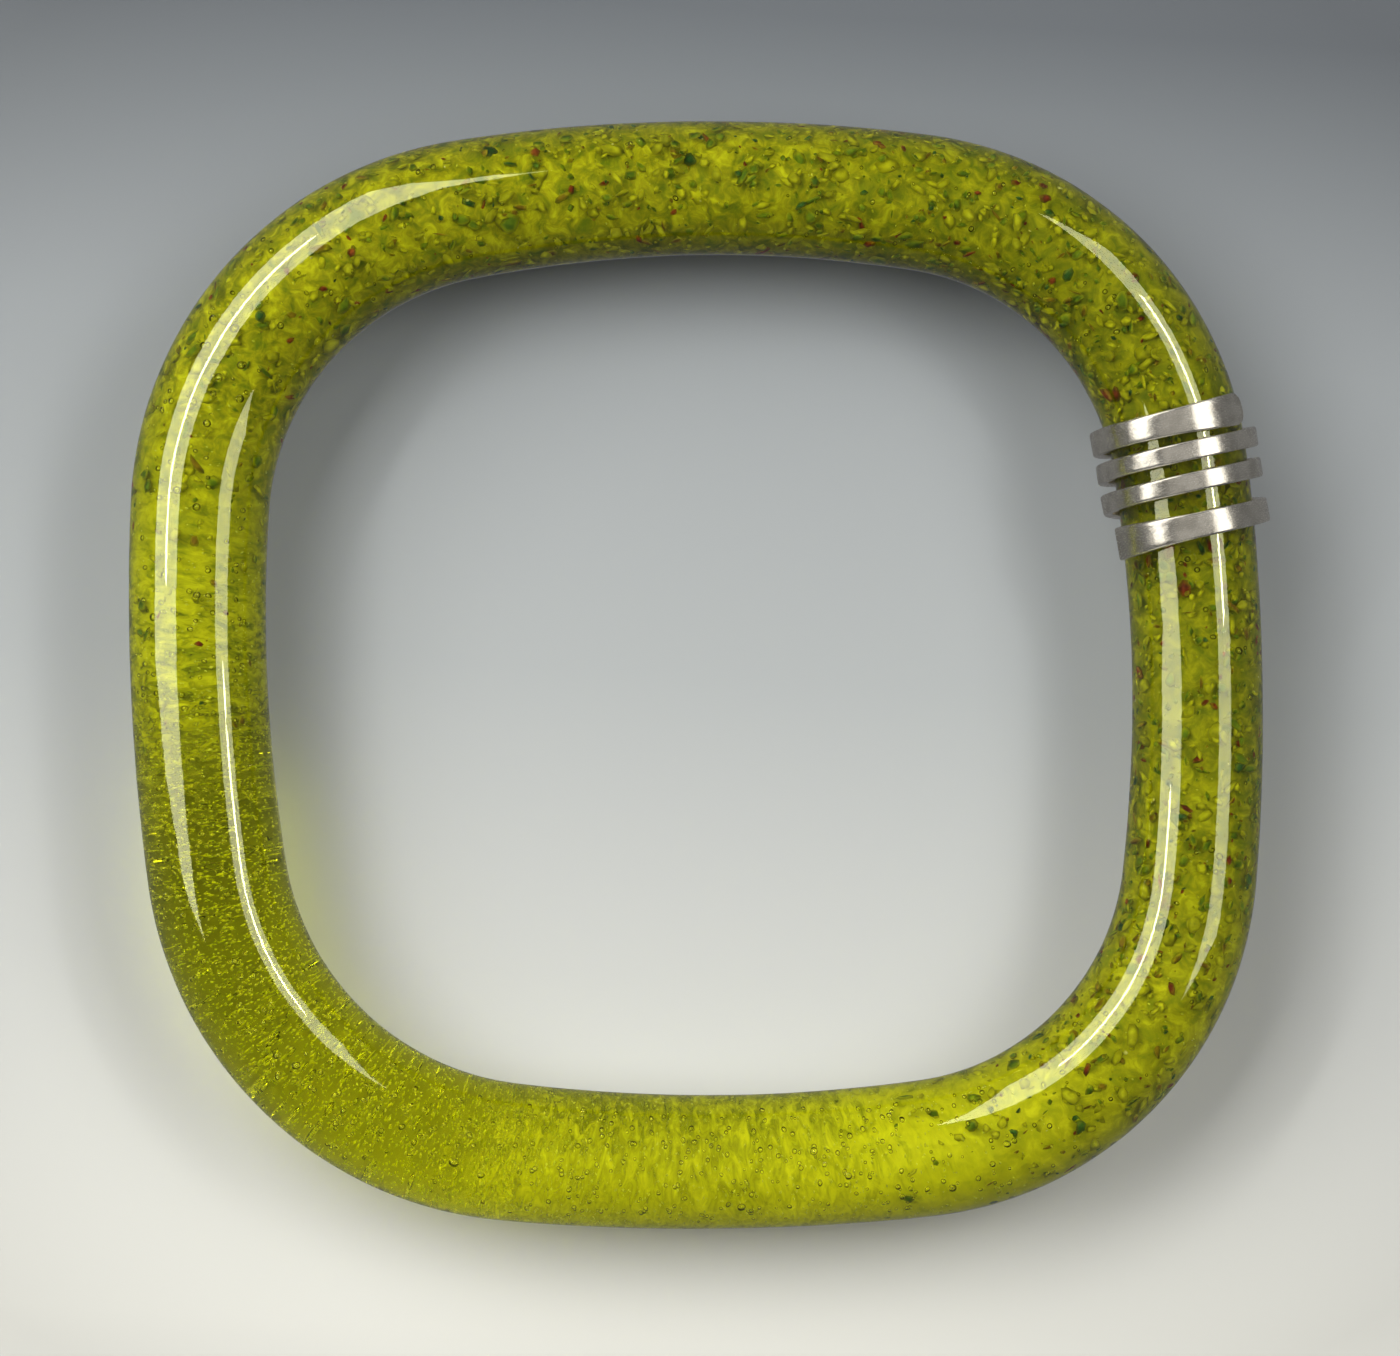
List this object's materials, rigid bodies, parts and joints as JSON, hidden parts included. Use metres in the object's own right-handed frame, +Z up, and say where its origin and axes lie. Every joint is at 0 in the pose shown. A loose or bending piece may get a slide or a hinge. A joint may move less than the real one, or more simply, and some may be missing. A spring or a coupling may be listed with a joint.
{
  "type": "bangle bracelet",
  "caption": "Rounded-square bangle of solid transparent olive glass rod with coloured chips, and a loose flattened silver wire coil round one side.",
  "frame": {"origin": "middle of the wrist opening, in the plane of the glass rod's centreline", "axes": "+Z up from the table the bangle lies on, +X along its longer side, towards the silver coil"},
  "size_m": [0.0839, 0.0814, 0.0122],
  "materials": {
    "glass": "fire-polished transparent olive-yellow glass with yellow, green and red chips and seed bubbles",
    "silver": "satin planished silver, lightly brushed along the wire"
  },
  "bodies": {
    "ring": {"glass_ring": "glass"},
    "coil": {"silver_coil": "silver"}
  },
  "joints": [
    {"name": "coil_spin", "type": "hinge", "parent": "ring", "child": "coil", "pos_m": [0.03555, 0.01453, 0], "axis": [-0.1611, 0.9869, 0], "continuous": true}
  ]
}
